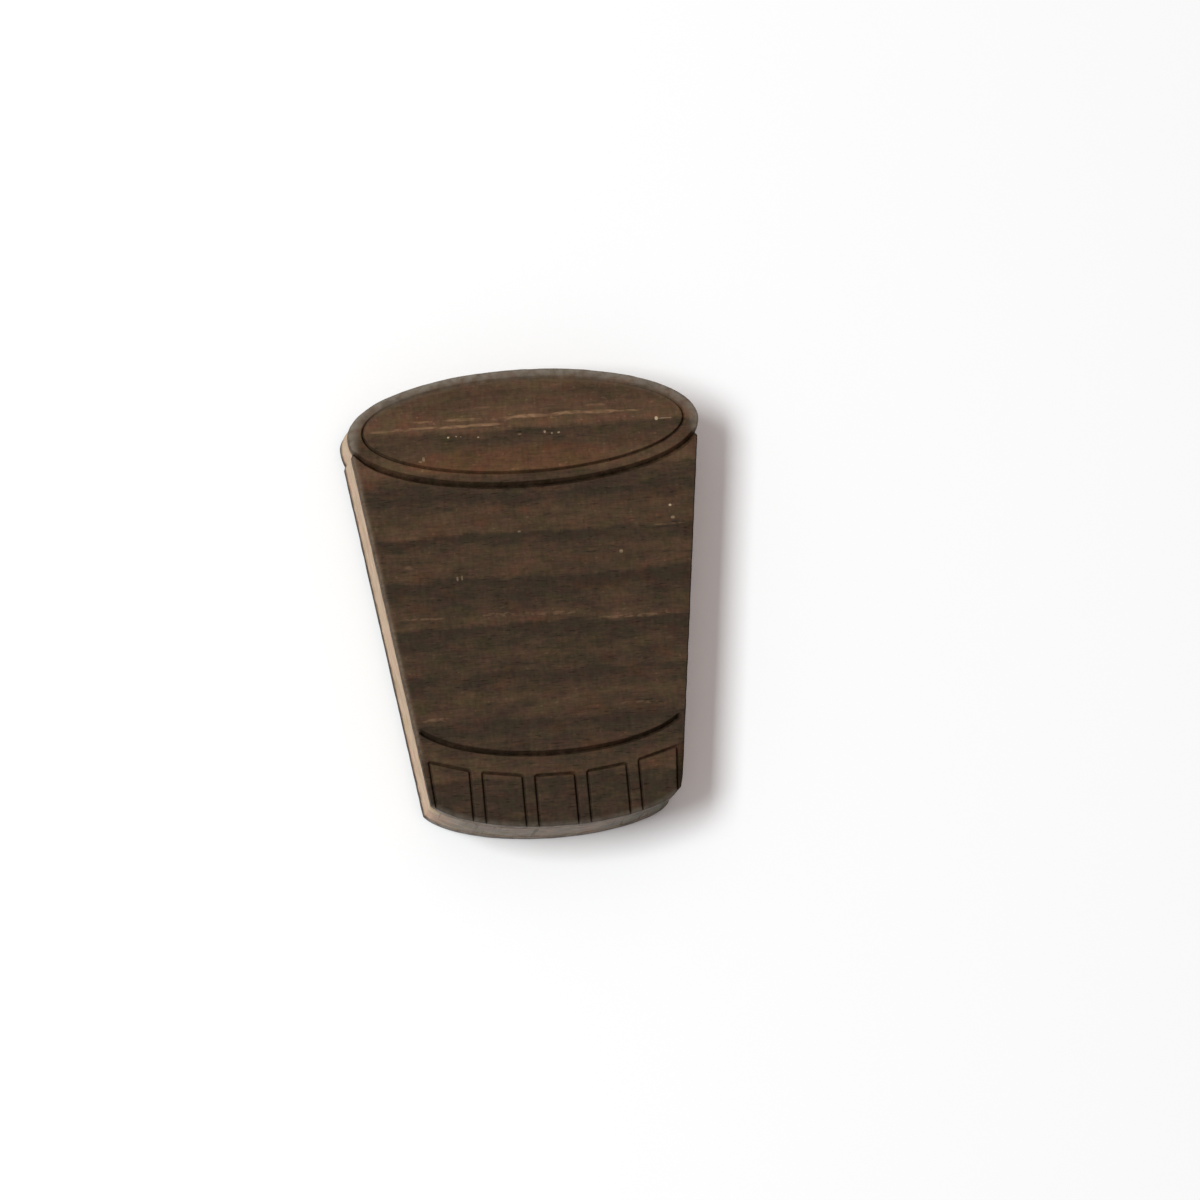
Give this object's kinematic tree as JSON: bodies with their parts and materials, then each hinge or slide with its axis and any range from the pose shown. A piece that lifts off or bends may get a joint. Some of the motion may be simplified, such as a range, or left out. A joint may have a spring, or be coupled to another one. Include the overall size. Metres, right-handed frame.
{
  "type": "wooden tumbler token",
  "caption": "Flat laser-cut wooden game token in the outline of a tumbler, walnut veneers over a pale core, with burnt rim, base and panel lines.",
  "frame": {"origin": "on the resting face (back veneer), midway along the width and the height of the outline", "axes": "+Z out of the engraved face, +Y from the foot of the tumbler to its mouth, +X to the right of the engraved face"},
  "size_m": [0.0152, 0.02, 0.0032],
  "materials": {
    "walnut_face": "unfinished walnut veneer, grain across the width, lines burnt into it",
    "walnut_back": "unfinished walnut veneer with a scorched cut edge",
    "pale_core": "pale core wood, dry laser-cut edge",
    "cured_glue": "cured brown wood glue, seen only as a hairline at the edge"
  },
  "bodies": {
    "root": {"back_veneer": "walnut_back", "back_glue_line": "cured_glue", "core_ply": "pale_core", "front_glue_line": "cured_glue", "face_veneer": "walnut_face"}
  },
  "joints": []
}
